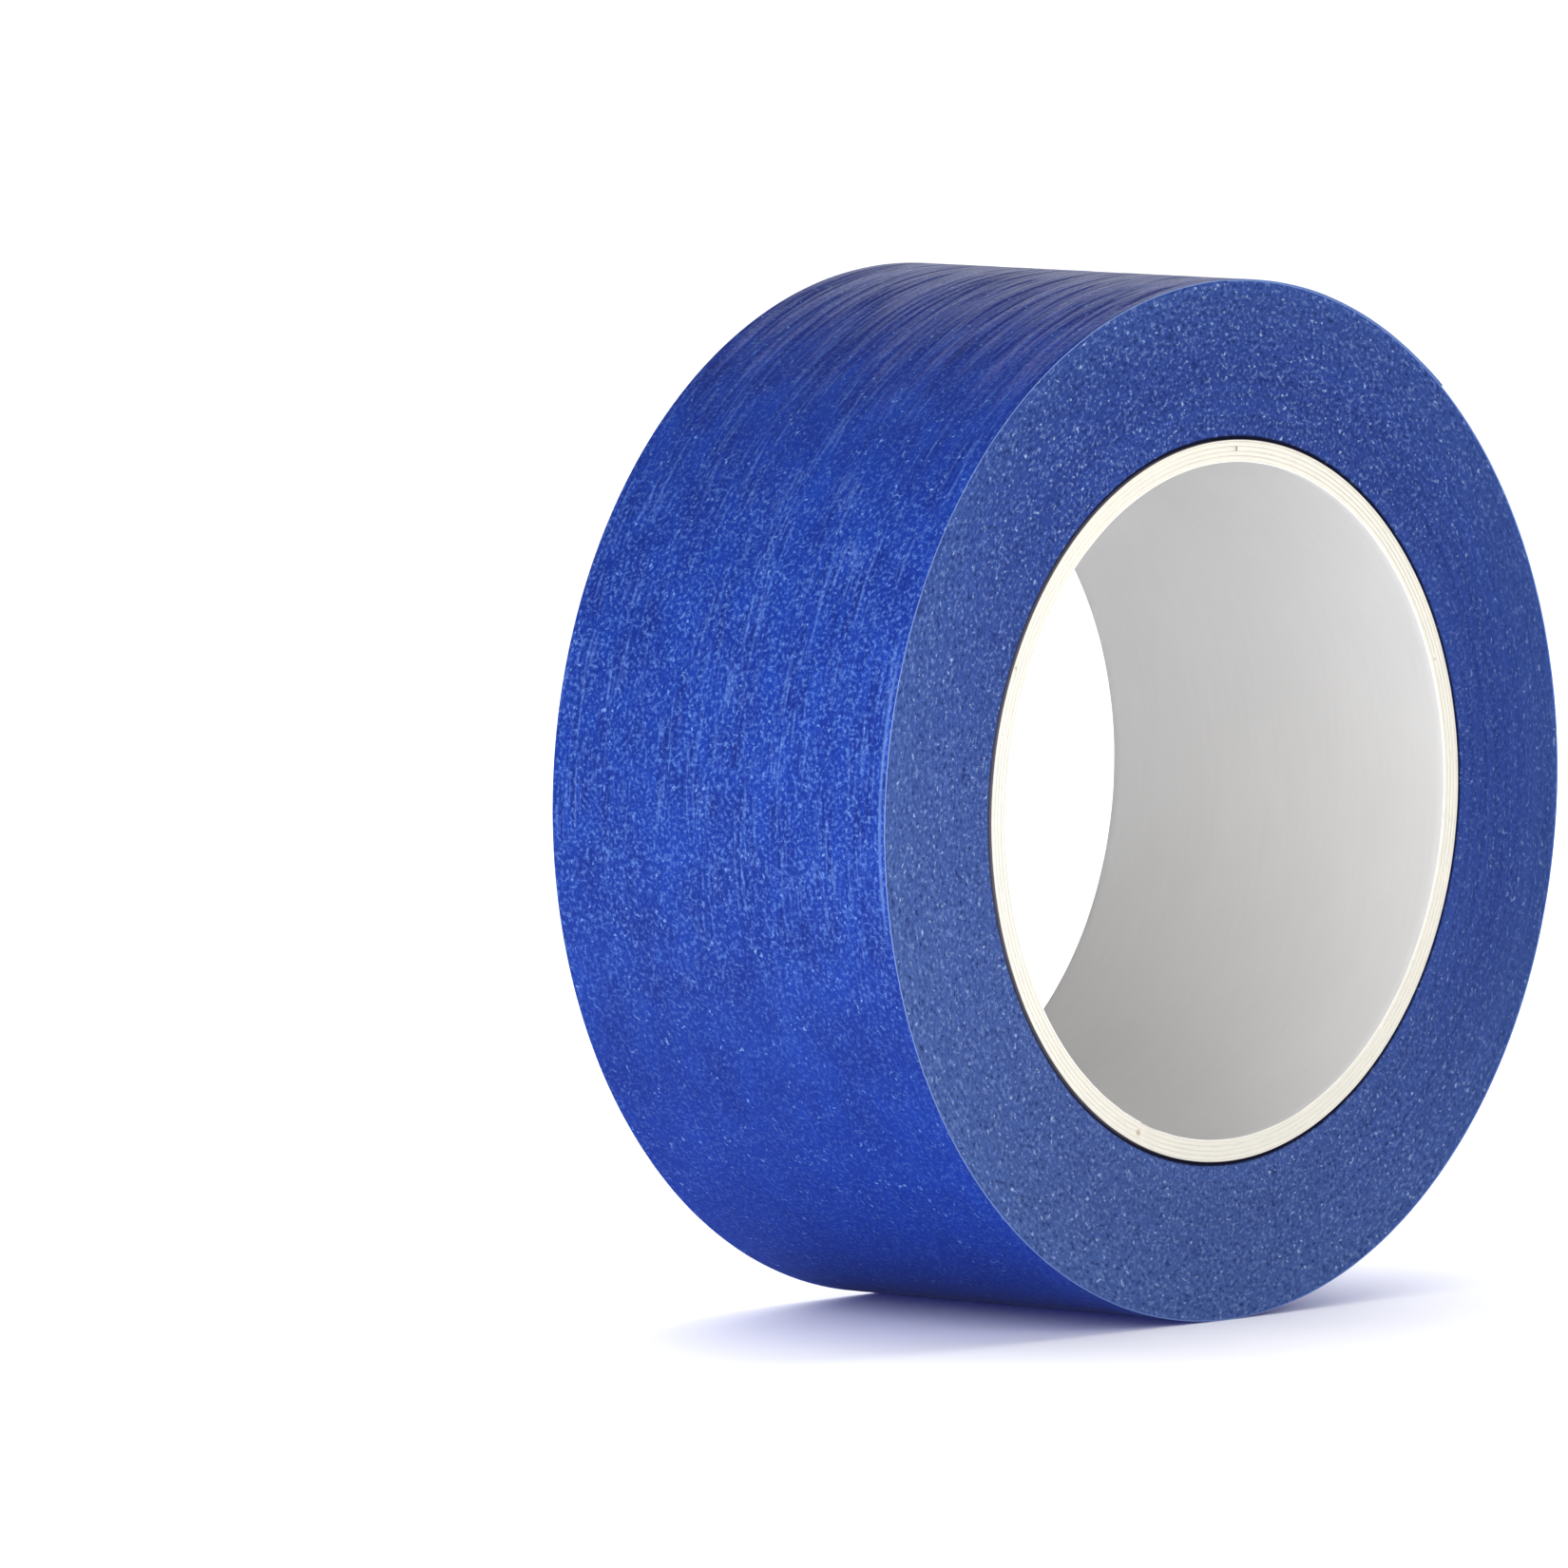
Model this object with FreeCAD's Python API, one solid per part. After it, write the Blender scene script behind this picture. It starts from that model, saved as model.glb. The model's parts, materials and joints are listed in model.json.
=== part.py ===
"""A roll of masking tape: crepe-paper tape wound on a spirally wound paper core.

Millimetres. The roll stands on its rim: its axis lies along Y, +Z is up, and the origin
is the centre of the core's bore, halfway along its length. Angles are measured round the
roll's axis from +X towards +Z.

The tape's outermost turn is a true one-turn spiral. Its surface falls by one tape
thickness round the roll, from the free end to the place where it dives under that end.
It is drawn with four quarter arcs whose centres are the corners of a small square, so
each quarter's radius is a quarter of a tape thickness less than the last one's.
"""

import FreeCAD, Part
import math
import os

# Overall sizes
WIDTH = 49.5
BORE_DIAMETER = 76.5
ROLL_DIAMETER = 117.7

# Core: an inner liner, board plies and an outer ply, each a strip wound in a helix.
# The board plies' and the outer ply's edges stand a little apart. The liner's overlap
# and are glued down, so the liner is a closed tube.
LINER_THICKNESS = 0.20
BOARD_PLY_THICKNESS = 0.51
BOARD_PLY_COUNT = 4
OUTER_PLY_THICKNESS = 0.21
GLUE_LINE = 0.02
SEAM_PITCH = 112.0
BOARD_SEAM_GAP = 0.35
OUTER_SEAM_GAP = 0.20
FIRST_SEAM_ANGLE = 314.0
SEAM_STAGGER = 67.0
SEAM_OVERRUN = 3.0

# Tape: crepe paper with adhesive on its inner side
BACKING_THICKNESS = 0.095
ADHESIVE_THICKNESS = 0.030
TURN_GAP = 0.01

# Free end of the tape, from its cut edge to the line where it peels off the roll
END_ANGLE = 50.0
PEEL_ANGLE = 80.0
END_SETBACK = 0.25
TURN_SETBACK = 0.40
END_CLEARANCE = 0.05

# Derived sizes
TAPE_THICKNESS = BACKING_THICKNESS + ADHESIVE_THICKNESS
ROLL_RADIUS = ROLL_DIAMETER / 2
BORE_RADIUS = BORE_DIAMETER / 2
FULL_TURN = 360.0
QUARTER_TURN = 90.0
CENTRE_SQUARE = TAPE_THICKNESS / 4
AXIS = FreeCAD.Vector(0, 1, 0)
NEAR_SIDE = FreeCAD.Vector(0, -WIDTH / 2, 0)


def direction(angle):
    """Unit vector across the roll's axis at an angle in degrees."""
    return FreeCAD.Vector(math.cos(math.radians(angle)), 0, math.sin(math.radians(angle)))


def ring(inner_radius, outer_radius):
    """A tube round the roll's axis, as long as the tape is wide."""
    outside = Part.makeCylinder(outer_radius, WIDTH, NEAR_SIDE, AXIS)
    inside = Part.makeCylinder(inner_radius, WIDTH, NEAR_SIDE, AXIS)
    return outside.cut(inside)


def seam(inner_radius, outer_radius, start_angle, gap):
    """The helical gap between a ply's two edges, which meets the near side at start_angle."""
    middle = (inner_radius + outer_radius) / 2
    reach = (outer_radius - inner_radius) / 2 + GLUE_LINE / 2
    slope = math.atan2(SEAM_PITCH, 2 * math.pi * middle)
    across = FreeCAD.Vector(0, -math.sin(slope), math.cos(slope)) * (gap / 2)
    near = FreeCAD.Vector(middle - reach, 0, 0)
    far = FreeCAD.Vector(middle + reach, 0, 0)
    corners = [near - across, far - across, far + across, near + across]
    profile = Part.makePolygon(corners + [corners[0]])
    helix = Part.makeHelix(SEAM_PITCH, WIDTH + 2 * SEAM_OVERRUN, middle)
    gap_solid = Part.Wire(helix.Edges).makePipeShell([profile], True, True)
    overrun_angle = SEAM_OVERRUN / SEAM_PITCH * FULL_TURN
    origin = FreeCAD.Vector(0, 0, 0)
    gap_solid.rotate(origin, FreeCAD.Vector(0, 0, 1), -start_angle - overrun_angle)
    gap_solid.rotate(origin, FreeCAD.Vector(1, 0, 0), -QUARTER_TURN)
    gap_solid.translate(NEAR_SIDE - AXIS * SEAM_OVERRUN)
    return gap_solid


def core_plies():
    """The core's plies from the bore outwards, as (name, solid), and the core's outer radius."""
    inner_radius = BORE_RADIUS + LINER_THICKNESS
    plies = [("core_inner_liner", ring(BORE_RADIUS, inner_radius))]
    wound = []
    for number in range(1, BOARD_PLY_COUNT + 1):
        wound.append((f"core_board_ply_{number}", BOARD_PLY_THICKNESS, BOARD_SEAM_GAP))
    wound.append(("core_outer_ply", OUTER_PLY_THICKNESS, OUTER_SEAM_GAP))
    for index, (name, thickness, gap) in enumerate(wound):
        inner_radius += GLUE_LINE
        outer_radius = inner_radius + thickness
        gap_solid = seam(inner_radius, outer_radius, FIRST_SEAM_ANGLE + index * SEAM_STAGGER, gap)
        plies.append((name, ring(inner_radius, outer_radius).cut(gap_solid)))
        inner_radius = outer_radius
    return plies, inner_radius


def quarter(index):
    """Centre and radius of one of the four arcs that draw the outermost turn's surface."""
    along = direction(END_ANGLE)
    across = direction(END_ANGLE + QUARTER_TURN)
    corners = [along - across, along + across, across - along, FreeCAD.Vector() - along - across]
    centre = corners[index] * (CENTRE_SQUARE / 2)
    return centre, ROLL_RADIUS - index * CENTRE_SQUARE


def surface_point(depth, index, angle):
    """A point depth below the outermost turn's surface, on the arc with this index."""
    centre, radius = quarter(index)
    return NEAR_SIDE + centre + direction(angle) * (radius - depth)


def surface_arcs(depth, start_angle, stop_angle):
    """Arcs that follow the outermost turn, depth below its surface, between two angles."""
    arcs = []
    for index in range(4):
        low = max(start_angle, END_ANGLE + index * QUARTER_TURN)
        high = min(stop_angle, END_ANGLE + (index + 1) * QUARTER_TURN)
        if high > low:
            ends = [surface_point(depth, index, angle) for angle in (low, (low + high) / 2, high)]
            arcs.append(Part.Arc(*ends).toShape())
    return arcs


def solid_within(edges):
    """Extrudes a closed outline on the near side across the tape's width."""
    outline = Part.Wire(Part.__sortEdges__(edges))
    return Part.Face(outline).extrude(AXIS * WIDTH)


def line_between(first, second):
    """A straight edge."""
    return Part.LineSegment(first, second).toShape()


def strip(top_depth, bottom_depth, start_angle, stop_angle):
    """A stretch of one layer of the outermost turn, between two depths below its surface."""
    top = surface_arcs(top_depth, start_angle, stop_angle)
    bottom = surface_arcs(bottom_depth, start_angle, stop_angle)
    first = line_between(top[0].Vertexes[0].Point, bottom[0].Vertexes[0].Point)
    last = line_between(top[-1].Vertexes[-1].Point, bottom[-1].Vertexes[-1].Point)
    return solid_within(top + bottom + [first, last])


def wound_body(core_radius):
    """Every turn below the outermost one, with the step where that turn continues inwards."""
    stop_angle = END_ANGLE + FULL_TURN
    arcs = surface_arcs(TAPE_THICKNESS + TURN_GAP, END_ANGLE, stop_angle)
    step = line_between(arcs[-1].Vertexes[-1].Point, arcs[0].Vertexes[0].Point)
    bore = Part.makeCylinder(core_radius + GLUE_LINE, WIDTH, NEAR_SIDE, AXIS)
    return solid_within(arcs + [step]).cut(bore)


def degrees_along(length):
    """Angle that a length along the tape's surface takes up."""
    return math.degrees(length / ROLL_RADIUS)


def tape_layers():
    """The outermost turn and the free end, each as a backing and an adhesive layer."""
    turn_start = PEEL_ANGLE + degrees_along(TURN_SETBACK)
    turn_stop = END_ANGLE + FULL_TURN
    end_stop = PEEL_ANGLE - degrees_along(END_SETBACK)
    raised = END_CLEARANCE - TURN_GAP
    top, middle, bottom = 0.0, BACKING_THICKNESS, TAPE_THICKNESS
    return [
        ("tape_outer_turn_backing", strip(top, middle, turn_start, turn_stop)),
        ("tape_outer_turn_adhesive", strip(middle, bottom, turn_start, turn_stop)),
        ("tape_end_backing", strip(top - raised, middle - raised, END_ANGLE, end_stop)),
        ("tape_end_adhesive", strip(middle - raised, bottom - raised, END_ANGLE, end_stop)),
    ]


def peel_line():
    """The middle of the line on the tape's underside that the free end folds back about."""
    centre, radius = quarter(0)
    return centre + direction(PEEL_ANGLE) * (radius - TAPE_THICKNESS)


def main():
    """Builds every node and writes it to parts/."""
    os.makedirs("parts", exist_ok=True)
    nodes, core_radius = core_plies()
    nodes.append(("tape_wound_body", wound_body(core_radius)))
    nodes.extend(tape_layers())
    for name, shape in nodes:
        shape.exportStep(os.path.join("parts", name + ".step"))
        print(f"{name}: {len(shape.Solids)} solid, {shape.Volume:.1f} mm3, valid {shape.isValid()}")
    print(f"core radius {core_radius:.3f}, peel line {peel_line()}")


main()
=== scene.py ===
"""How the masking tape roll looks: its meshes, materials, light and camera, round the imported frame.

Metres and degrees. The roll's axis lies along Y, and angles go round it from +X towards +Z. The
tape is one spiral strip. Angles along it grow from END_ANGLE, at the free end, towards the core,
by 360 degrees a turn.
"""

import json
import math

import bpy
import numpy as np
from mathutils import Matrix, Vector


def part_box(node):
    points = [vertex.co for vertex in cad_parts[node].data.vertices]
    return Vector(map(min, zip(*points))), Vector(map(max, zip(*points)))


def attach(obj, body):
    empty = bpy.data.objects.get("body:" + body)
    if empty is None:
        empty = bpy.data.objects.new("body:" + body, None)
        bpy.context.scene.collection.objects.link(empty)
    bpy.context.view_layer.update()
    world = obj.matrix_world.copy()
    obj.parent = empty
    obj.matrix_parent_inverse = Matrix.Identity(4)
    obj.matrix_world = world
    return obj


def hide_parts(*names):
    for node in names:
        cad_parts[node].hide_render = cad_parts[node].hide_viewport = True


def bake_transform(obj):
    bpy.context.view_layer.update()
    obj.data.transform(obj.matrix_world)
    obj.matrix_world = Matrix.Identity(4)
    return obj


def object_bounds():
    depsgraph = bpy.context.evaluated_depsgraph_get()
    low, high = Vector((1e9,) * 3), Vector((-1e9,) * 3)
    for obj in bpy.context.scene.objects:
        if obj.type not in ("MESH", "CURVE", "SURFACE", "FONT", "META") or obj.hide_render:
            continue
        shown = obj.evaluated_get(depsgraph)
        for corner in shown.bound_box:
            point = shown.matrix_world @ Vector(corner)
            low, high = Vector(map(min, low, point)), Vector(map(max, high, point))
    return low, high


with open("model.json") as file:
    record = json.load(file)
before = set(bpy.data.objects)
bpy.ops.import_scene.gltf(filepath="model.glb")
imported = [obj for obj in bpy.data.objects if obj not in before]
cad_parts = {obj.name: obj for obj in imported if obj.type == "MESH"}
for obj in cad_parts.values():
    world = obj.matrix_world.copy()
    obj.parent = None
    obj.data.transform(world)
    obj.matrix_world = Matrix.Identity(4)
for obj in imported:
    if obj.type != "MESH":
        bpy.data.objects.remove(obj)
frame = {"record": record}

MM = 0.001
FULL_TURN = 360.0

cad_box = [list(corner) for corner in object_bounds()]
MOUNTS = {mount["name"]: mount for mount in frame["record"]["mounts"]}

# Sizes
BORE_RADIUS = MOUNTS["core_bore"]["dims"]["r_mm"] * MM
HALF_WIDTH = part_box("tape_wound_body")[1][1]
ROLL_RADIUS = 58.85 * MM
BACKING_THICKNESS = 0.095 * MM
TAPE_THICKNESS = 0.125 * MM
LINER_THICKNESS = 0.20 * MM
BOARD_PLY_THICKNESS = 0.51 * MM
BOARD_PLY_COUNT = 4
OUTER_PLY_THICKNESS = 0.21 * MM
GLUE_LINE = 0.02 * MM
SEAM_PITCH = 112.0 * MM
BOARD_SEAM_GAP = 0.35 * MM
OUTER_SEAM_GAP = 0.20 * MM
LINER_SEAM_ANGLE = 247.0
SEAM_STAGGER = 67.0
BOARD_WALL = BOARD_PLY_COUNT * (GLUE_LINE + BOARD_PLY_THICKNESS)
CORE_RADIUS = BORE_RADIUS + LINER_THICKNESS + BOARD_WALL + GLUE_LINE + OUTER_PLY_THICKNESS

# Stretches of the strip, as angles along it
END_ANGLE = 50.0
PEEL_ANGLE = 80.0
END_PIECE_STOP = 82.0
OUTER_TURN_STOP = 450.0

# Free end: how far it stands off, how far its tip is lifted, and the angle over which both ease off
END_CLEARANCE = 0.04 * MM
END_LIFT = 0.06 * MM
END_EASE = 6.0

# Lip along the near edge of the outermost turn
LIP_ANGLE = 176.0
LIP_SPREAD = 16.0
LIP_FROM_EDGE = 0.55 * MM
LIP_HALF_WIDTH = 0.4 * MM
LIP_HEIGHT = 0.08 * MM

# Relief of the crepe paper
STREAK_HEIGHT = 0.011 * MM
WRINKLE_HEIGHT = 0.003 * MM
SWELL_HEIGHT = 0.010 * MM
EDGE_WANDER = 0.012 * MM
EDGE_INSET = 0.03 * MM
EDGE_INSET_LIMIT = 0.08 * MM
STRIP_ROUNDING = 0.03 * MM
ADHESIVE_INSET = 0.04 * MM

# Relief of the turns' edges, in from the side faces
TURN_INSET = 0.055 * MM
TURN_INSET_LOW = 0.005 * MM
TURN_INSET_HIGH = 0.14 * MM
TURN_DRIFT = 0.022 * MM
TURN_WANDER = 0.014 * MM
TURN_RIPPLE = 0.004 * MM
CORE_TUCK = 0.35 * MM

# Relief of the core's rims and of the step along the liner's seam
PLY_ROUNDING = 0.012 * MM
PLY_UNEVENNESS = 0.012 * MM
LINER_ROUNDING = 0.06 * MM
LINER_UNEVENNESS = 0.03 * MM
LINER_STEP = 0.07 * MM
RIM_DEPTH = 0.1 * MM

# Mesh steps
STRIP_ANGLE_STEP = 0.8
STRIP_COLUMNS = 165
STRIP_ROWS = round((OUTER_TURN_STOP - END_ANGLE) / STRIP_ANGLE_STEP) + 1
STRIP_ANGLES = np.linspace(END_ANGLE, OUTER_TURN_STOP, STRIP_ROWS)
ANGLE_MARGIN = 0.01
ADHESIVE_COLUMNS = 33
WINDING_STEPS = 120
PLY_STEPS = 200
PLY_ROWS = 44
STRIP_SHARP_ANGLE = math.radians(35)
PLY_SHARP_ANGLE = math.radians(50)
LINER_SHARP_ANGLE = math.radians(60)

# Seeds of the random draws
STRIP_SEED = 11
WINDINGS_SEED = 5
CORE_SEED = 21

# Camera
CAMERA_AZIMUTH = -48.67
CAMERA_ELEVATION = 4.64
CAMERA_DISTANCE = 2.445
CAMERA_LENS = 494.9
CAMERA_ASIDE = 31.4 * MM
CAMERA_ABOVE = 0.6 * MM
CAMERA_CLIP_START = 0.1
CAMERA_CLIP_END = 100.0

# Floor and backdrop
FLOOR_GAP = 0.02 * MM
FLOOR_HALF_SIZE = 4.0
BACKDROP_HEIGHT = 3.0

# Light: angles in degrees, the ambient light's strength above and below the horizon, and each
# softbox as azimuth, elevation, distance, power in watts and size
FLOOR_LIGHT = 2.7
FLOOR_LIGHT_AZIMUTH = 142.0
FLOOR_LIGHT_ELEVATION = 42.0
FLOOR_LIGHT_SPREAD = 110.0
AMBIENT_ABOVE = 0.33
AMBIENT_BELOW = 0.08
AMBIENT_BLEND = 0.05
SOFTBOXES = {
    "left_softbox": (-64.0, 13.0, 0.34, 0.95, 0.3),
    "front_softbox": (-15.0, 20.0, 0.8, 1.05, 0.4),
    "back_softbox": (131.0, 20.0, 1.0, 1.3, 0.5),
}


# ---------------------------------------------------------------- meshes


def mesh_object(name, points, faces, smooth=True):
    """A new object from an array of points and a list of faces."""
    mesh = bpy.data.meshes.new(name)
    mesh.from_pydata(points.reshape(-1, 3).tolist(), [], faces)
    mesh.validate()
    mesh.polygons.foreach_set("use_smooth", [smooth] * len(mesh.polygons))
    obj = bpy.data.objects.new(name, mesh)
    bpy.context.collection.objects.link(obj)
    return obj


def tube_faces(rows, loop, closed):
    """Quads over a grid whose rows are closed loops of points; closed joins the last row to the first."""
    row = np.arange(rows if closed else rows - 1)[:, None]
    point = np.arange(loop)[None, :]
    after = (row + 1) % rows
    beside = (point + 1) % loop
    corners = [row * loop + point, row * loop + beside, after * loop + beside, after * loop + point]
    faces = np.stack([np.broadcast_to(c, (len(row), loop)) for c in corners], axis=-1)
    return faces.reshape(-1, 4).tolist()


def folded_caps(rows, loop):
    """Quads that close a grid's first and last rows, each a loop that comes back beside itself."""
    half = loop // 2
    first = [(i, loop - 1 - i, loop - 2 - i, i + 1) for i in range(half - 1)]
    base = (rows - 1) * loop
    last = [tuple(base + i for i in reversed(quad)) for quad in first]
    return first + last


def cylinder_points(radius, angle, along):
    """Points from radius, angle in degrees and place along the roll's axis."""
    turn = np.radians(angle)
    radius, turn, along = np.broadcast_arrays(radius, turn, along)
    return np.stack([radius * np.cos(turn), along, radius * np.sin(turn)], axis=-1)


def smooth_noise(rng, shape, spread):
    """Noise of unit deviation, smoothed over spread samples along each axis."""
    spectrum = np.fft.fftn(rng.standard_normal(shape))
    for axis, sigma in enumerate(spread):
        frequency = np.fft.fftfreq(shape[axis])
        fall = np.exp(-2 * (math.pi * sigma * frequency) ** 2)
        spectrum *= fall.reshape([-1 if i == axis else 1 for i in range(len(shape))])
    noise = np.fft.ifftn(spectrum).real
    return noise / noise.std()


def smooth_step(value, low, high):
    """0 below low, 1 above high, and a smooth rise between."""
    share = np.clip((value - low) / (high - low), 0, 1)
    return share * share * (3 - 2 * share)


# ---------------------------------------------------------------- tape strip


def surface_radius(angle):
    """Radius of the tape's outer face at an angle along the strip."""
    return ROLL_RADIUS - TAPE_THICKNESS * (angle - END_ANGLE) / FULL_TURN


def strip_relief():
    """Height of the crepe paper's outer face over the strip, and how far its two edges wander."""
    rng = np.random.default_rng(STRIP_SEED)
    shape = (STRIP_ROWS, STRIP_COLUMNS + 1)
    bundles = 0.35 + 0.65 * smooth_step(smooth_noise(rng, shape, (12, 7)), -0.6, 1.2)
    streaks = smooth_noise(rng, shape, (12, 0.7)) * bundles
    wrinkles = smooth_noise(rng, shape, (1.2, 0.9))
    swell = smooth_noise(rng, shape, (26, 30))
    height = streaks * STREAK_HEIGHT + wrinkles * WRINKLE_HEIGHT + swell * SWELL_HEIGHT
    edges = smooth_noise(rng, (STRIP_ROWS, 2), (9, 0)) * EDGE_WANDER
    return height + edge_lip(), np.clip(edges + EDGE_INSET, 0, EDGE_INSET_LIMIT)


def edge_lip():
    """Height of the shallow lip where the tape's near edge has lifted along a short stretch."""
    from_edge = np.linspace(0, 2 * HALF_WIDTH, STRIP_COLUMNS + 1)[None, :]
    across = np.exp(-((from_edge - LIP_FROM_EDGE) / LIP_HALF_WIDTH) ** 2)
    along = np.exp(-(((STRIP_ANGLES[:, None] - LIP_ANGLE) / LIP_SPREAD) ** 4))
    return LIP_HEIGHT * across * along


def end_raise(angle):
    """How far the free end stands off the turn below it, from its lifted tip to where it lies down."""
    lift = END_LIFT * (1 - smooth_step(angle, END_ANGLE, END_ANGLE + END_EASE))
    return lift + END_CLEARANCE * (1 - smooth_step(angle, PEEL_ANGLE - END_EASE, END_PIECE_STOP))


def strip_rows(start_angle, stop_angle):
    """Which rows of the strip lie between two angles."""
    return (STRIP_ANGLES > start_angle - ANGLE_MARGIN) & (STRIP_ANGLES < stop_angle + ANGLE_MARGIN)


def strip_piece(name, start_angle, stop_angle, relief, edges):
    """A stretch of the crepe-paper backing: relief on its outer face, softened edges, closed all round.

    Its attribute "torn" is 1 on the row of points at the tape's torn end, and 0 elsewhere.
    """
    rows = strip_rows(start_angle, stop_angle)
    angle = STRIP_ANGLES[rows][:, None]
    near, far = edges[rows, 0:1], edges[rows, 1:2]
    share = np.linspace(0, 1, STRIP_COLUMNS + 1)[None, :]
    low, high = near - HALF_WIDTH + STRIP_ROUNDING, HALF_WIDTH - far - STRIP_ROUNDING
    across = low + share * (high - low)
    top = surface_radius(angle) + end_raise(angle)
    outer = cylinder_points(top + relief[rows], angle, across)
    near_side, far_side = low - STRIP_ROUNDING, high + STRIP_ROUNDING
    corners = [
        (STRIP_ROUNDING, far_side),
        (BACKING_THICKNESS, far_side),
        (BACKING_THICKNESS, near_side),
        (STRIP_ROUNDING, near_side),
    ]
    sides = [cylinder_points(top - depth, angle, along) for depth, along in corners]
    points = np.concatenate([outer] + sides, axis=1)
    count, loop = points.shape[:2]
    faces = tube_faces(count, loop, closed=False)
    faces += [tuple(range(loop)), tuple(reversed(range((count - 1) * loop, count * loop)))]
    piece = mesh_object(name, points, faces)
    piece.data.set_sharp_from_angle(angle=STRIP_SHARP_ANGLE)
    torn = np.zeros((count, loop))
    torn[0] = start_angle == END_ANGLE
    piece.data.attributes.new("torn", "FLOAT", "POINT").data.foreach_set("value", torn.ravel())
    return piece


def adhesive_piece(name, start_angle, stop_angle, edges):
    """The adhesive under a stretch of backing: a thin film, drawn back a little from both edges."""
    rows = strip_rows(start_angle, stop_angle)
    angle = STRIP_ANGLES[rows][:, None]
    low = edges[rows, 0:1] - HALF_WIDTH + ADHESIVE_INSET
    high = HALF_WIDTH - edges[rows, 1:2] - ADHESIVE_INSET
    share = np.linspace(0, 1, ADHESIVE_COLUMNS + 1)[None, :]
    across = low + share * (high - low)
    top = surface_radius(angle) + end_raise(angle)
    outer = cylinder_points(top - BACKING_THICKNESS, angle, across)
    inner = cylinder_points(top - TAPE_THICKNESS, angle, across[:, ::-1])
    points = np.concatenate([outer, inner], axis=1)
    count, loop = points.shape[:2]
    faces = tube_faces(count, loop, closed=False) + folded_caps(count, loop)
    piece = mesh_object(name, points, faces)
    piece.data.set_sharp_from_angle(angle=STRIP_SHARP_ANGLE)
    return piece


def windings():
    """Every turn below the outermost one, as one spiral ribbon whose edges wander from turn to turn."""
    first_radius = surface_radius(OUTER_TURN_STOP)
    last_radius = CORE_RADIUS + GLUE_LINE + TAPE_THICKNESS
    turns = (first_radius - last_radius) / TAPE_THICKNESS
    count = round(turns * WINDING_STEPS) + 1
    angle = OUTER_TURN_STOP + np.linspace(0, turns * FULL_TURN, count)[:, None]
    rng = np.random.default_rng(WINDINGS_SEED)
    insets = []
    for _ in range(2):
        drift = smooth_noise(rng, (count,), (9 * WINDING_STEPS,)) * TURN_DRIFT
        turn_by_turn = smooth_noise(rng, (count,), (WINDING_STEPS / 3,)) * TURN_WANDER
        ripple = smooth_noise(rng, (count,), (2.5,)) * TURN_RIPPLE
        inset = TURN_INSET + drift + turn_by_turn + ripple
        insets.append(np.clip(inset, TURN_INSET_LOW, TURN_INSET_HIGH)[:, None])
    from_core = angle[-1] - angle
    tucked = CORE_TUCK * (1 - smooth_step(from_core, 1.2 * FULL_TURN, 3.4 * FULL_TURN))
    top = surface_radius(angle)
    bottom = top - TAPE_THICKNESS * 0.97
    low, high = insets[0] + tucked - HALF_WIDTH, HALF_WIDTH - insets[1] - tucked
    corners = [(top, low), (top, high), (bottom, high), (bottom, low)]
    points = np.stack([cylinder_points(r, angle, y)[:, 0] for r, y in corners], axis=1)
    faces = tube_faces(count, 4, closed=False) + folded_caps(count, 4)
    return mesh_object("tape_windings", points, faces, smooth=False)


# ---------------------------------------------------------------- core


def ply_section(inner, outer, soften):
    """Radius and place along the axis of the points round a ply's section: outer face, then inner."""
    between = np.linspace(-1, 1, PLY_ROWS + 1) * (HALF_WIDTH - soften)
    along = np.concatenate([[-HALF_WIDTH], between, [HALF_WIDTH]])
    outer_face = np.concatenate([[outer - soften], np.full(PLY_ROWS + 1, outer), [outer - soften]])
    inner_face = np.concatenate([[inner + soften], np.full(PLY_ROWS + 1, inner), [inner + soften]])
    return np.concatenate([outer_face, inner_face]), np.concatenate([along, along[::-1]])


def seam_angle(start_angle, along):
    """Where a ply's helical seam is, in degrees, at a place along the axis."""
    return start_angle - (along + HALF_WIDTH) / SEAM_PITCH * FULL_TURN


def rim_points(along):
    """Which of a section's points lie at the rims, and which half each point is in, as 0 or 1."""
    return np.abs(along) > HALF_WIDTH - RIM_DEPTH, (along > 0).astype(int)


def core_ply(name, inner, outer, start_angle, gap, seed):
    """A board ply: one helical turn whose edges stand a gap apart, with softened cut rims."""
    radius, along = ply_section(inner, outer, PLY_ROUNDING)
    gap_angle = math.degrees(gap / outer)
    share = np.linspace(0, 1, PLY_STEPS + 1)[:, None]
    angle = seam_angle(start_angle, along)[None, :] + gap_angle / 2 + share * (FULL_TURN - gap_angle)
    rng = np.random.default_rng(seed)
    uneven = smooth_noise(rng, (PLY_STEPS + 1, 2), (1.5, 0)) * PLY_UNEVENNESS
    at_rim, side = rim_points(along)
    inward = -np.sign(along)[None, :] * at_rim[None, :] * np.abs(uneven[:, side])
    points = cylinder_points(radius[None, :], angle, along[None, :] + inward)
    count, loop = points.shape[:2]
    faces = tube_faces(count, loop, closed=False) + folded_caps(count, loop)
    piece = mesh_object(name, points, faces)
    piece.data.set_sharp_from_angle(angle=PLY_SHARP_ANGLE)
    return piece


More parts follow.
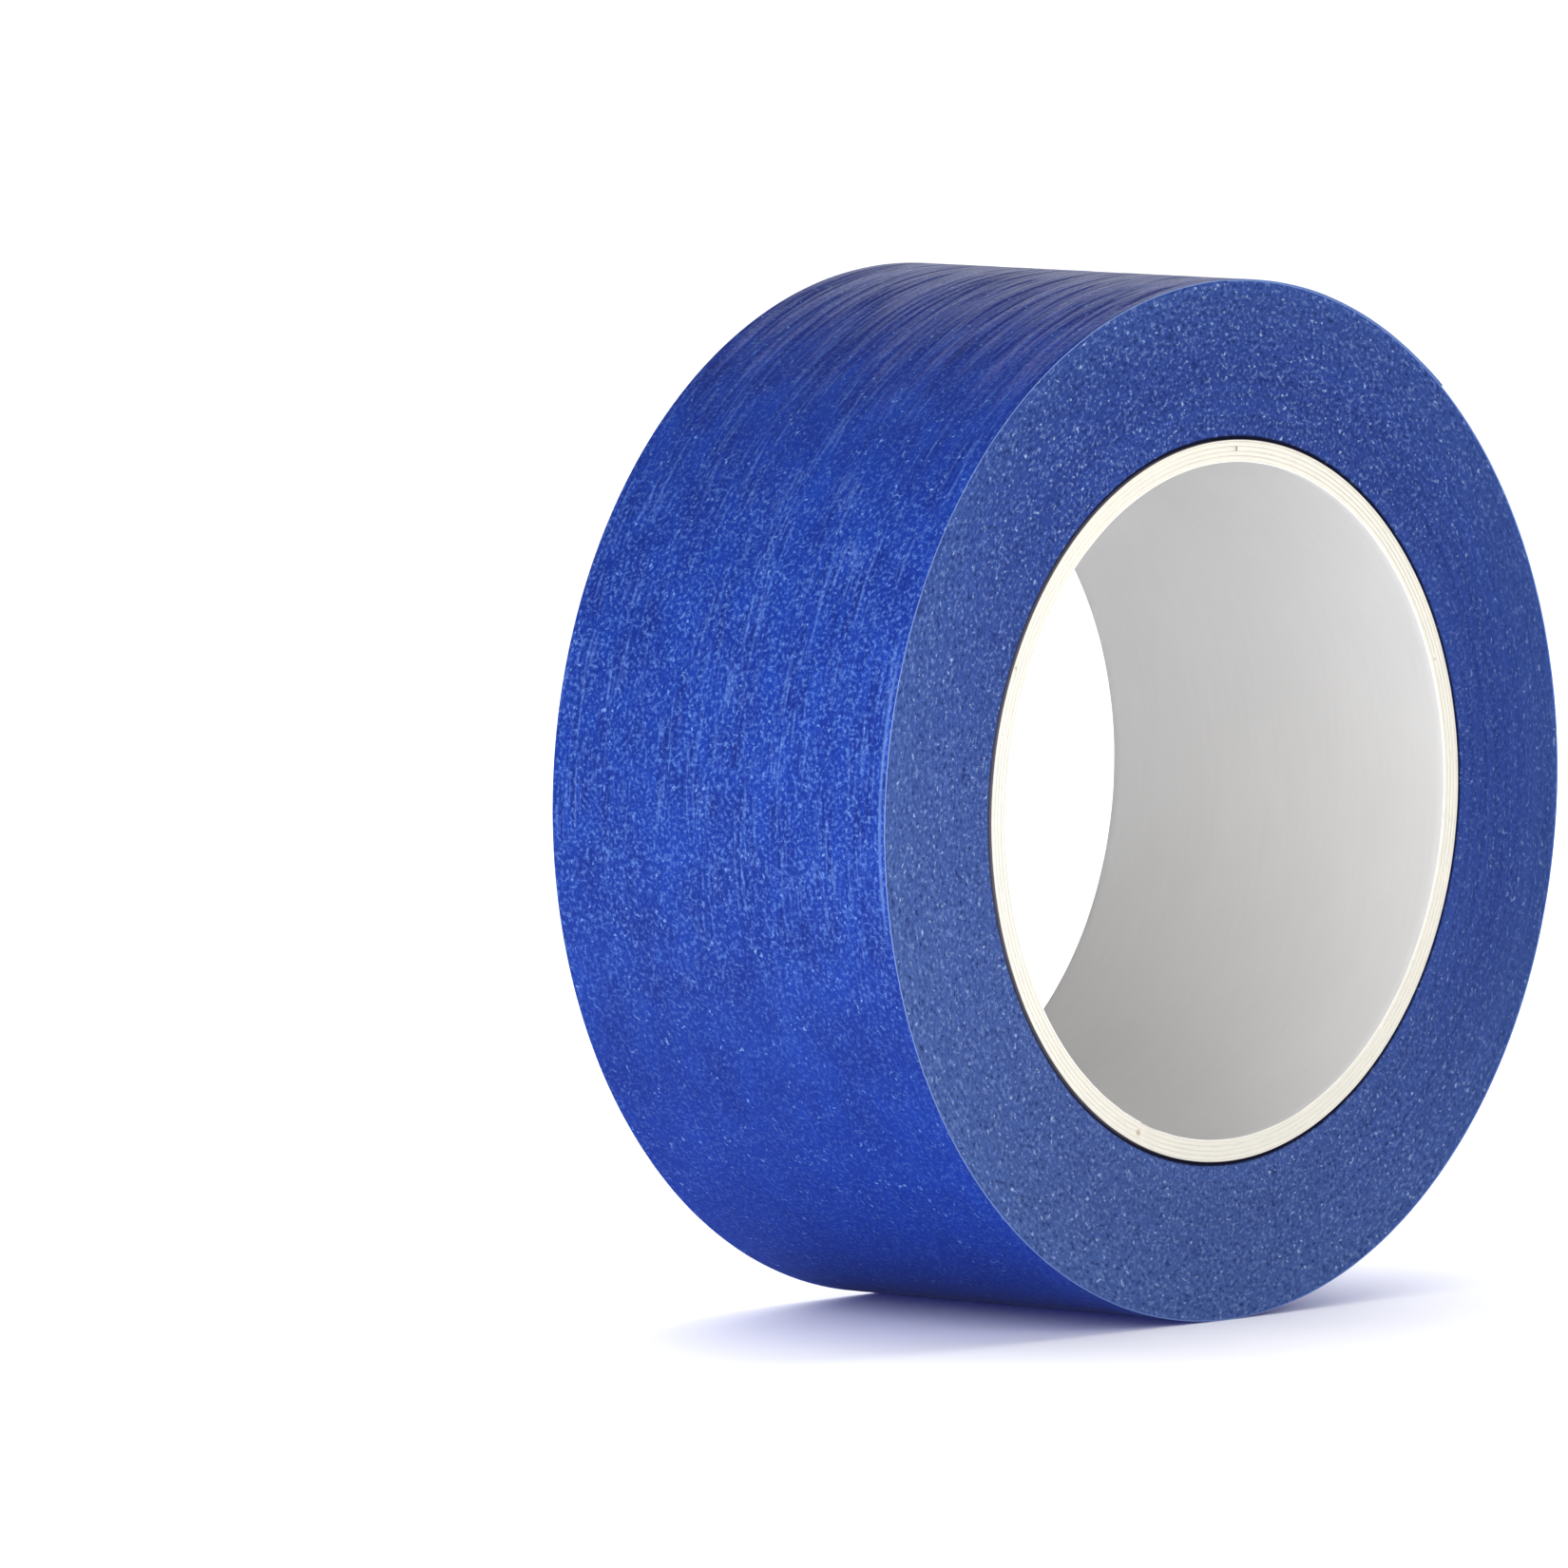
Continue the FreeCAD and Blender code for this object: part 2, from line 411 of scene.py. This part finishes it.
def core_liner(name, inner, outer, start_angle, seed):
    """The liner: a closed tube with a shallow step along its helical overlap and an uneven rim."""
    radius, along = ply_section(inner, outer, LINER_ROUNDING)
    half_turn = FULL_TURN / 2
    share = np.linspace(-1, 1, PLY_STEPS * 2, endpoint=False)[:, None]
    from_seam = np.sign(share) * np.abs(share) ** 1.6 * half_turn
    angle = seam_angle(start_angle, along)[None, :] + from_seam
    distance = np.radians(from_seam) * inner
    rise, fall = smooth_step(distance, 0.0, 0.25 * MM), smooth_step(distance, 0.5 * MM, 7 * MM)
    step = LINER_STEP * rise * (1 - fall)
    rng = np.random.default_rng(seed)
    uneven = smooth_noise(rng, (PLY_STEPS * 2, 2), (2.0, 0)) * LINER_UNEVENNESS
    is_inner = radius < (inner + outer) / 2
    at_rim, side = rim_points(along)
    lift = is_inner * step + is_inner * at_rim * np.abs(uneven[:, side]) * 0.6
    points = cylinder_points(radius[None, :] + lift, angle, along[None, :])
    count, loop = points.shape[:2]
    piece = mesh_object(name, points, tube_faces(count, loop, closed=True))
    piece.data.set_sharp_from_angle(angle=LINER_SHARP_ANGLE)
    return piece


def core():
    """Every ply of the core from the bore outwards, each with its CAD node and material slot."""
    outer = BORE_RADIUS + LINER_THICKNESS
    liner = core_liner("core_liner", BORE_RADIUS, outer, LINER_SEAM_ANGLE, CORE_SEED)
    plies = [(liner, "core_inner_liner", "core_liner_paper")]
    boards = [f"core_board_ply_{number}" for number in range(1, BOARD_PLY_COUNT + 1)]
    wound = [(node, BOARD_PLY_THICKNESS, BOARD_SEAM_GAP) for node in boards]
    wound.append(("core_outer_ply", OUTER_PLY_THICKNESS, OUTER_SEAM_GAP))
    for index, (node, thickness, gap) in enumerate(wound, start=1):
        inner = outer + GLUE_LINE
        outer = inner + thickness
        start_angle = LINER_SEAM_ANGLE + index * SEAM_STAGGER
        name = node.replace("core_", "core_wound_")
        piece = core_ply(name, inner, outer, start_angle, gap, CORE_SEED + index)
        plies.append((piece, node, "core_board"))
    return plies


# ---------------------------------------------------------------- materials


def linear(red, green, blue):
    """A colour in linear light from its 0 to 255 screen values."""
    values = []
    for value in (red, green, blue):
        value /= 255
        values.append(value / 12.92 if value <= 0.04045 else ((value + 0.055) / 1.055) ** 2.4)
    return (*values, 1.0)


class Surface:
    """A Principled material, with short ways to add the nodes that its pattern needs."""

    def __init__(self, name, roughness, specular=0.5):
        self.material = bpy.data.materials.new(name)
        self.material.use_nodes = True
        self.tree = self.material.node_tree
        self.shader = self.tree.nodes["Principled BSDF"]
        self.shader.inputs["Roughness"].default_value = roughness
        self.shader.inputs["Specular IOR Level"].default_value = specular
        self.place = self.add("ShaderNodeTexCoord").outputs["Object"]

    def add(self, kind, inputs=(), **settings):
        """A node with its settings, its inputs given as values or as sockets to link."""
        node = self.tree.nodes.new(kind)
        for key, value in settings.items():
            setattr(node, key, value)
        for key, value in dict(inputs).items():
            if isinstance(value, bpy.types.NodeSocket):
                self.tree.links.new(value, node.inputs[key])
            else:
                node.inputs[key].default_value = value
        return node

    def noise(self, vector, detail=2.0, roughness=0.5):
        """Noise with features one unit of vector across."""
        inputs = {"Vector": vector, "Scale": 1.0, "Detail": detail, "Roughness": roughness}
        return self.add("ShaderNodeTexNoise", inputs).outputs["Fac"]

    def stretched(self, round_size, along_size, offset=0.0):
        """The place scaled so that noise features are this size round the roll and along its axis."""
        scale = (1 / round_size, 1 / along_size, 1 / round_size)
        shift = (offset, offset, offset)
        node = self.add("ShaderNodeMapping", {"Vector": self.place, "Scale": scale, "Location": shift})
        return node.outputs["Vector"]

    def flat(self):
        """The place with no distance along the roll's axis."""
        inputs = {0: self.place, 1: (1.0, 0.0, 1.0)}
        return self.add("ShaderNodeVectorMath", inputs, operation="MULTIPLY").outputs["Vector"]

    def radius(self):
        """Distance from the roll's axis."""
        return self.add("ShaderNodeVectorMath", {0: self.flat()}, operation="LENGTH").outputs["Value"]

    def heading(self):
        """Unit direction out from the roll's axis."""
        inputs = {0: self.flat()}
        return self.add("ShaderNodeVectorMath", inputs, operation="NORMALIZE").outputs["Vector"]

    def polar(self, radial_size, round_size, offset=0.0):
        """Coordinates whose noise features have these sizes outwards and round the side face."""
        spread = 0.8 * ROLL_RADIUS / round_size
        inputs = {0: self.heading(), "Scale": spread}
        scaled = self.add("ShaderNodeVectorMath", inputs, operation="SCALE").outputs["Vector"]
        outwards = self.math("MULTIPLY_ADD", self.radius(), 1 / radial_size, offset)
        outwards = self.add("ShaderNodeCombineXYZ", {"Y": outwards}).outputs[0]
        both = self.add("ShaderNodeVectorMath", {0: scaled, 1: outwards}, operation="ADD")
        return both.outputs["Vector"]

    def facing(self, angle, low, high):
        """0 where the direction out from the axis has cosine low with this angle, 1 where it has high."""
        turn = math.radians(angle)
        inputs = {0: self.heading(), 1: (math.cos(turn), 0.0, math.sin(turn))}
        cosine = self.add("ShaderNodeVectorMath", inputs, operation="DOT_PRODUCT").outputs["Value"]
        return self.rise(cosine, low, high)

    def rise(self, value, low, high, top=1.0):
        """A mask that rises smoothly from 0 to top as value goes from low to high."""
        inputs = {"Value": value, "From Min": low, "From Max": high, "To Min": 0.0, "To Max": top}
        return self.add("ShaderNodeMapRange", inputs, interpolation_type="SMOOTHSTEP").outputs["Result"]

    def math(self, operation, first, second, third=0.0):
        """One sum of two or three values."""
        return self.add("ShaderNodeMath", {0: first, 1: second, 2: third}, operation=operation).outputs[0]

    def attribute(self, name):
        """A number stored on the mesh."""
        return self.add("ShaderNodeAttribute", attribute_name=name).outputs["Fac"]

    def edge_mask(self, depth):
        """1 at either side of the tape, falling to 0 at this depth in from it."""
        along = self.add("ShaderNodeSeparateXYZ", {0: self.place}).outputs["Y"]
        return self.rise(self.math("ABSOLUTE", along, 0.0), HALF_WIDTH - depth, HALF_WIDTH - depth * 0.4)

    def near_band(self, start, stop):
        """1 in a band between these two distances in from the near side of the tape."""
        along = self.add("ShaderNodeSeparateXYZ", {0: self.place}).outputs["Y"]
        low, high, fade = start - HALF_WIDTH, stop - HALF_WIDTH, 0.25 * MM
        inside = self.rise(along, low, low + fade)
        outside = self.rise(along, high, high - fade)
        return self.math("MULTIPLY", inside, outside)

    def blend(self, mask, first, second):
        """First where the mask is 0, second where it is 1."""
        node = self.add("ShaderNodeMix", {0: mask, 6: first, 7: second}, data_type="RGBA")
        return node.outputs[2]

    def colour(self, socket):
        """Gives the shader its colour."""
        self.tree.links.new(socket, self.shader.inputs["Base Color"])

    def bump(self, height, distance, strength=1.0):
        """Gives the shader fine relief, with distance as the height of a rise from 0 to 1."""
        inputs = {"Height": height, "Distance": distance, "Strength": strength}
        normal = self.add("ShaderNodeBump", inputs).outputs["Normal"]
        self.tree.links.new(normal, self.shader.inputs["Normal"])

    def rough(self, socket):
        """Gives the shader a varying roughness."""
        self.tree.links.new(socket, self.shader.inputs["Roughness"])


def backing_material():
    """Blue crepe paper: pale specks and fibres, creped ridging round the roll, and mottling. Its colour
    also holds painted light: painted shade in the creping's grooves, painted highlight along the creping,
    the lip and both edges, painted sheen and painted shade in the creases on top, painted light towards
    the bottom of the roll, and specks stronger on the side where light falls.
    """
    surface = Surface("blue_crepe_paper", 0.5, 0.25)
    mottle = surface.noise(surface.stretched(7 * MM, 5 * MM), 3.0)
    specks = surface.noise(surface.stretched(0.47 * MM, 0.47 * MM, 3.1), 2.0, 0.6)
    sparks = surface.noise(surface.stretched(0.6 * MM, 0.55 * MM, 9.4), 1.0)
    clusters = surface.noise(surface.stretched(3 * MM, 2.5 * MM, 6.6), 2.0)
    streaks = surface.noise(surface.stretched(7 * MM, 0.52 * MM, 5.3), 1.0, 0.5)
    bundles = surface.rise(surface.noise(surface.stretched(14 * MM, 4 * MM, 1.9), 2.0), 0.38, 0.6)
    creases = surface.noise(surface.stretched(20 * MM, 0.9 * MM, 8.2), 2.0, 0.55)
    # Painted light: specks are stronger on the side facing 170 degrees, where most light falls
    lit_side_mask = surface.facing(170.0, 0.80, 0.97)
    colour = surface.blend(surface.rise(mottle, 0.2, 0.8), linear(8, 42, 134), linear(13, 56, 156))
    # Painted light: a brighter blue towards the bottom of the roll, standing in for light bounced up from
    # the floor
    underside_light = surface.math("MULTIPLY", surface.facing(255.0, 0.6, 1.0), 0.6)
    colour = surface.blend(underside_light, colour, linear(15, 58, 170))

    # Creped streaks: painted shade in their grooves and painted highlight along their raised lines, which
    # also give relief; both fade out around 235 degrees
    ridged = surface.math("MULTIPLY", bundles, surface.facing(235.0, 0.92, 0.6))
    furrow_shade = surface.math("MULTIPLY", surface.rise(streaks, 0.46, 0.34, 0.6), ridged)
    colour = surface.blend(furrow_shade, colour, linear(5, 26, 104))
    ridge_relief_and_highlight = surface.math("MULTIPLY", surface.rise(streaks, 0.53, 0.66), ridged)
    colour = surface.blend(surface.math("MULTIPLY", ridge_relief_and_highlight, 0.26), colour, linear(84, 114, 184))

    # Creases on top: painted sheen on their raised lines, which also give relief, and painted shade in
    # their grooves, which are also rougher
    creased = surface.facing(88.0, 0.7, 0.94)
    crest_relief_and_sheen = surface.math("MULTIPLY", surface.rise(creases, 0.5, 0.63), creased)
    crest_relief_and_sheen = surface.math("MULTIPLY", crest_relief_and_sheen, surface.rise(specks, 0.25, 0.55))
    colour = surface.blend(surface.math("MULTIPLY", crest_relief_and_sheen, 0.68), colour, linear(99, 107, 180))
    hollow_shade_and_roughness = surface.math("MULTIPLY", surface.rise(creases, 0.47, 0.39, 0.85), creased)
    colour = surface.blend(hollow_shade_and_roughness, colour, linear(6, 30, 126))

    # Share of specks, raised by painted light on the side facing 170 degrees
    speck_share = surface.math("MULTIPLY_ADD", lit_side_mask, 0.5, 0.45)
    dark = surface.math("MULTIPLY", surface.rise(specks, 0.46, 0.28, 0.5), speck_share)
    colour = surface.blend(dark, colour, linear(6, 24, 100))
    # Pale fibre specks, a little stronger where the streaks' painted highlight is
    lifted = surface.math("MULTIPLY_ADD", ridge_relief_and_highlight, 0.07, specks)
    pale = surface.math("MULTIPLY", surface.rise(lifted, 0.47, 0.76, 0.8), speck_share)
    colour = surface.blend(pale, colour, linear(88, 126, 198))
    clustered = surface.rise(clusters, 0.4, 0.62)
    bright = surface.math("MULTIPLY", surface.rise(sparks, 0.64, 0.76, 0.8), clustered)
    colour = surface.blend(bright, colour, linear(112, 150, 214))

    # Painted highlight along the lifted lip near the tape's near edge
    lip_stretch = surface.facing(LIP_ANGLE, 0.955, 0.985)
    lip = surface.math("MULTIPLY", surface.near_band(0.4 * MM, 1.1 * MM), lip_stretch)
    colour = surface.blend(surface.math("MULTIPLY", lip, 0.45), colour, linear(104, 138, 204))
    # Painted highlight along both edges of the tape
    colour = surface.blend(surface.edge_mask(0.12 * MM), colour, linear(110, 136, 190))
    ragged = surface.math("MULTIPLY_ADD", specks, 0.9, surface.attribute("torn"))
    colour = surface.blend(surface.rise(ragged, 1.0, 1.15, 0.8), colour, linear(120, 150, 208))
    surface.colour(colour)
    surface.rough(surface.math("MULTIPLY_ADD", hollow_shade_and_roughness, 0.3, 0.48))
    relief = surface.math("MULTIPLY_ADD", specks, 1.0, surface.math("MULTIPLY_ADD", crest_relief_and_sheen, 1.6, ridge_relief_and_highlight))
    surface.bump(relief, 0.05 * MM, 1.0)
    return surface.material


def windings_material():
    """The turns' cut edges: slate blue with pale fibre ends in rows, and faint rings. Painted light makes
    them paler towards the lower left, and painted shade darkens the gap next to the core.
    """
    surface = Surface("tape_cut_edges", 0.62, 0.2)
    rings = surface.noise(surface.polar(1.1 * MM, 400 * MM), 3.0, 0.6)
    drift = surface.noise(surface.polar(6 * MM, 30 * MM, 4.0), 2.0)
    ends = surface.noise(surface.polar(0.46 * MM, 0.5 * MM, 9.0), 2.0, 0.55)
    sparks = surface.noise(surface.polar(0.52 * MM, 0.6 * MM, 4.4), 1.0)
    tone = surface.math("ADD", surface.math("MULTIPLY", rings, 0.6), surface.math("MULTIPLY", drift, 0.4))
    colour = surface.blend(surface.rise(tone, 0.3, 0.7), linear(31, 55, 128), linear(40, 68, 146))
    outwards = surface.rise(surface.radius(), ROLL_RADIUS - 10 * MM, ROLL_RADIUS, 0.3)
    colour = surface.blend(outwards, colour, linear(60, 89, 150))
    # Painted light: the side face is paler towards 240 degrees, the lower left, where more light falls
    paler = surface.math("MULTIPLY", surface.facing(240.0, -0.6, 1.0), 0.36)
    colour = surface.blend(paler, colour, linear(85, 111, 162))
    # Fibre specks, dark, pale and bright, at half strength facing 0 degrees, towards the right of the
    # side face
    speck_strength = surface.math("MULTIPLY_ADD", surface.facing(0.0, 1.0, 0.55), 0.5, 0.5)
    dark = surface.math("MULTIPLY", surface.rise(ends, 0.46, 0.28, 0.75), speck_strength)
    colour = surface.blend(dark, colour, linear(16, 30, 84))
    pale = surface.math("MULTIPLY", surface.rise(ends, 0.5, 0.8, 0.7), speck_strength)
    colour = surface.blend(pale, colour, linear(122, 146, 192))
    bright = surface.math("MULTIPLY", surface.rise(sparks, 0.64, 0.8, 0.9), speck_strength)
    colour = surface.blend(bright, colour, linear(150, 172, 210))
    radius = surface.radius()
    # Painted shade in the gap between the innermost turns and the core
    gap_shade = surface.rise(radius, CORE_RADIUS + 0.57 * MM, CORE_RADIUS + 0.32 * MM, 0.96)
    colour = surface.blend(gap_shade, colour, linear(14, 12, 44))
    surface.colour(colour)
    surface.bump(ends, 0.06 * MM, 0.5)
    return surface.material


def adhesive_material():
    """The adhesive side: paler blue, smooth and slightly shiny."""
    surface = Surface("pale_adhesive", 0.32, 0.5)
    grain = surface.noise(surface.stretched(1.1 * MM, 0.7 * MM), 3.0, 0.6)
    fine = surface.noise(surface.stretched(0.25 * MM, 0.25 * MM, 2.2), 2.0)
    colour = surface.blend(surface.rise(grain, 0.3, 0.7), linear(88, 122, 196), linear(112, 146, 212))
    surface.colour(colour)
    surface.rough(surface.rise(fine, 0.2, 0.8, 0.5))
    surface.bump(fine, 0.03 * MM, 0.5)
    return surface.material


def board_material():
    """Cream core board, with faint grey and brown fibres where it is cut, and a band of painted shade
    along its outer edge next to the tape.
    """
    surface = Surface("cream_core_board", 0.7, 0.3)
    fibre = surface.noise(surface.polar(0.12 * MM, 1.6 * MM), 3.0, 0.6)
    cloud = surface.noise(surface.stretched(4 * MM, 4 * MM, 6.0), 2.0)
    specks = surface.noise(surface.stretched(0.35 * MM, 0.35 * MM, 8.0), 1.0)
    colour = surface.blend(surface.rise(fibre, 0.3, 0.7), linear(230, 226, 211), linear(235, 231, 219))
    colour = surface.blend(surface.rise(cloud, 0.45, 0.75, 0.35), colour, linear(244, 237, 220))
    colour = surface.blend(surface.rise(specks, 0.74, 0.82, 0.5), colour, linear(186, 168, 150))
    nick_angle = math.radians(LINER_SEAM_ANGLE)
    nick_radius = BORE_RADIUS + 1.3 * MM
    nick = (nick_radius * math.cos(nick_angle), -HALF_WIDTH, nick_radius * math.sin(nick_angle))
    distance = surface.add("ShaderNodeVectorMath", {0: surface.place, 1: nick}, operation="DISTANCE")
    worn = surface.rise(distance.outputs["Value"], 0.55 * MM, 0.1 * MM, 0.7)
    colour = surface.blend(worn, colour, linear(176, 150, 128))
    radius = surface.radius()
    # Painted shade: a dark band along the outer ply's outer edge, in the gap next to the tape
    board_gap_shade = surface.rise(radius, CORE_RADIUS - 0.1 * MM, CORE_RADIUS - 0.03 * MM, 0.9)
    surface.colour(surface.blend(board_gap_shade, colour, linear(26, 26, 66)))
    surface.bump(fibre, 0.03 * MM, 0.5)
    return surface.material


def liner_material():
    """The bore wall: smooth pale paper, a little grey, with a faint grain along its wrap."""
    surface = Surface("smooth_liner_paper", 0.55, 0.4)
    grain = surface.noise(surface.stretched(6 * MM, 0.8 * MM), 3.0, 0.55)
    cloud = surface.noise(surface.stretched(18 * MM, 14 * MM, 4.0), 2.0)
    tone = surface.math("ADD", surface.math("MULTIPLY", grain, 0.4), surface.math("MULTIPLY", cloud, 0.6))
    colour = surface.blend(surface.rise(tone, 0.3, 0.7), linear(204, 203, 201), linear(208, 207, 205))
    rim = surface.edge_mask(0.1 * MM)
    surface.colour(surface.blend(rim, colour, linear(252, 249, 240)))
    surface.bump(grain, 0.01 * MM, 0.4)
    return surface.material


def floor_material():
    """A plain white floor, with a faint indigo glow that tints only its shadows."""
    surface = Surface("studio_floor", 0.9, 0.1)
    surface.shader.inputs["Base Color"].default_value = (0.92, 0.92, 0.92, 1.0)
    surface.shader.inputs["Emission Color"].default_value = (0.08, 0.12, 1.0, 1.0)
    surface.shader.inputs["Emission Strength"].default_value = 0.06
    return surface.material


def backdrop_material():
    """An even white glow."""
    surface = Surface("studio_backdrop", 1.0, 0.0)
    surface.shader.inputs["Base Color"].default_value = (0.0, 0.0, 0.0, 1.0)
    surface.shader.inputs["Emission Color"].default_value = (1.0, 1.0, 1.0, 1.0)
    surface.shader.inputs["Emission Strength"].default_value = 1.05
    return surface.material


# ---------------------------------------------------------------- object


def finish_piece(piece, node, material, body="roll"):
    """Gives a piece its material, hides the CAD node it replaces, and says what body it rides on."""
    piece.data.materials.append(material)
    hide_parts(node)
    if body:
        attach(piece, body)


def build_roll():
    """Makes every visible piece of the roll."""
    backing, edges_material, adhesive = backing_material(), windings_material(), adhesive_material()
    board, liner = board_material(), liner_material()
    for piece, node, slot in core():
        finish_piece(piece, node, liner if node == "core_inner_liner" else board)

    finish_piece(windings(), "tape_wound_body", edges_material)

    relief, edges = strip_relief()
    turn = strip_piece("tape_outer_turn", END_PIECE_STOP, OUTER_TURN_STOP, relief, edges)
    finish_piece(turn, "tape_outer_turn_backing", backing)
    turn_film = adhesive_piece("tape_outer_turn_film", END_PIECE_STOP, OUTER_TURN_STOP, edges)
    finish_piece(turn_film, "tape_outer_turn_adhesive", adhesive)

    end = strip_piece("tape_end", END_ANGLE, END_PIECE_STOP, relief, edges)
    finish_piece(end, "tape_end_backing", backing, body=None)
    end_film = adhesive_piece("tape_end_film", END_ANGLE, END_PIECE_STOP, edges)
    finish_piece(end_film, "tape_end_adhesive", adhesive, body=None)
    for piece in (end, end_film):
        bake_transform(piece)


# ---------------------------------------------------------------- stage


def towards(azimuth, elevation):
    """Unit vector from the roll towards a point at this azimuth and elevation."""
    turn, rise = math.radians(azimuth), math.radians(elevation)
    return Vector((math.sin(turn) * math.cos(rise), -math.cos(turn) * math.cos(rise), math.sin(rise)))


def add_camera():
    """The camera stands to the left of the roll's line, so the roll is right of the picture's middle."""
    back = towards(CAMERA_AZIMUTH, CAMERA_ELEVATION)
    right = Vector((0, 0, 1)).cross(back).normalized()
    up = back.cross(right)
    data = bpy.data.cameras.new("camera")
    data.lens = CAMERA_LENS
    data.clip_start, data.clip_end = CAMERA_CLIP_START, CAMERA_CLIP_END
    camera = bpy.data.objects.new("camera", data)
    camera.location = back * CAMERA_DISTANCE - right * CAMERA_ASIDE + up * CAMERA_ABOVE
    camera.rotation_mode = "QUATERNION"
    camera.rotation_quaternion = back.to_track_quat("Z", "Y")
    bpy.context.collection.objects.link(camera)
    bpy.context.scene.camera = camera


def add_light(name, kind, azimuth, elevation, distance, power):
    """A light that faces the roll and is not seen itself."""
    data = bpy.data.lights.new(name, kind)
    data.energy = power
    light = bpy.data.objects.new(name, data)
    light.location = towards(azimuth, elevation) * distance
    light.rotation_mode = "QUATERNION"
    light.rotation_quaternion = towards(azimuth, elevation).to_track_quat("Z", "Y")
    light.visible_camera = False
    bpy.context.collection.objects.link(light)
    return light


def add_floor():
    """The plain white floor, with a broad light of its own so that it stays white far away."""
    mesh = bpy.data.meshes.new("floor")
    level = cad_box[0][2] - FLOOR_GAP
    half = FLOOR_HALF_SIZE
    corners = [(-half, -half, level), (half, -half, level), (half, half, level), (-half, half, level)]
    mesh.from_pydata(corners, [], [(0, 1, 2, 3)])
    mesh.materials.append(floor_material())
    floor = bpy.data.objects.new("floor", mesh)
    floor.visible_glossy = False
    bpy.context.collection.objects.link(floor)
    lit = bpy.data.collections.new("floor_light_receivers")
    lit.objects.link(floor)
    power = FLOOR_LIGHT / math.sin(math.radians(FLOOR_LIGHT_ELEVATION))
    azimuth, elevation = FLOOR_LIGHT_AZIMUTH, FLOOR_LIGHT_ELEVATION
    sky = add_light("floor_light", "SUN", azimuth, elevation, 1.0, power)
    sky.data.angle = math.radians(FLOOR_LIGHT_SPREAD)
    sky.light_linking.receiver_collection = lit


def add_backdrop():
    """Plain white walls round the floor's edge, seen by the camera only, so that they light nothing."""
    mesh = bpy.data.meshes.new("backdrop")
    half, low, high = FLOOR_HALF_SIZE, cad_box[0][2] - FLOOR_GAP, BACKDROP_HEIGHT
    corners = [(-half, -half), (half, -half), (half, half), (-half, half)]
    points = [(x, y, z) for z in (low, high) for x, y in corners]
    mesh.from_pydata(points, [], [(i, (i + 1) % 4, (i + 1) % 4 + 4, i + 4) for i in range(4)])
    mesh.materials.append(backdrop_material())
    backdrop = bpy.data.objects.new("backdrop", mesh)
    backdrop.visible_diffuse = backdrop.visible_glossy = backdrop.visible_transmission = False
    backdrop.visible_volume_scatter = backdrop.visible_shadow = False
    bpy.context.collection.objects.link(backdrop)


def add_world():
    """Soft light from all round, dimmer from below the horizon."""
    world = bpy.data.worlds.new("studio")
    world.use_nodes = True
    nodes, links = world.node_tree.nodes, world.node_tree.links
    direction = nodes.new("ShaderNodeTexCoord")
    split = nodes.new("ShaderNodeSeparateXYZ")
    strength = nodes.new("ShaderNodeMapRange")
    strength.inputs["From Min"].default_value = -AMBIENT_BLEND
    strength.inputs["From Max"].default_value = AMBIENT_BLEND
    strength.inputs["To Min"].default_value = AMBIENT_BELOW
    strength.inputs["To Max"].default_value = AMBIENT_ABOVE
    links.new(direction.outputs["Generated"], split.inputs[0])
    links.new(split.outputs["Z"], strength.inputs["Value"])
    background = nodes["Background"]
    background.inputs["Color"].default_value = (1.0, 1.0, 1.0, 1.0)
    links.new(strength.outputs["Result"], background.inputs["Strength"])
    bpy.context.scene.world = world


def add_stage():
    """Floor, world and lights."""
    add_floor()
    add_backdrop()
    add_world()
    for name, (azimuth, elevation, distance, power, size) in SOFTBOXES.items():
        add_light(name, "AREA", azimuth, elevation, distance, power).data.size = size
    bpy.context.scene.view_settings.view_transform = "Standard"


build_roll()
add_stage()
add_camera()
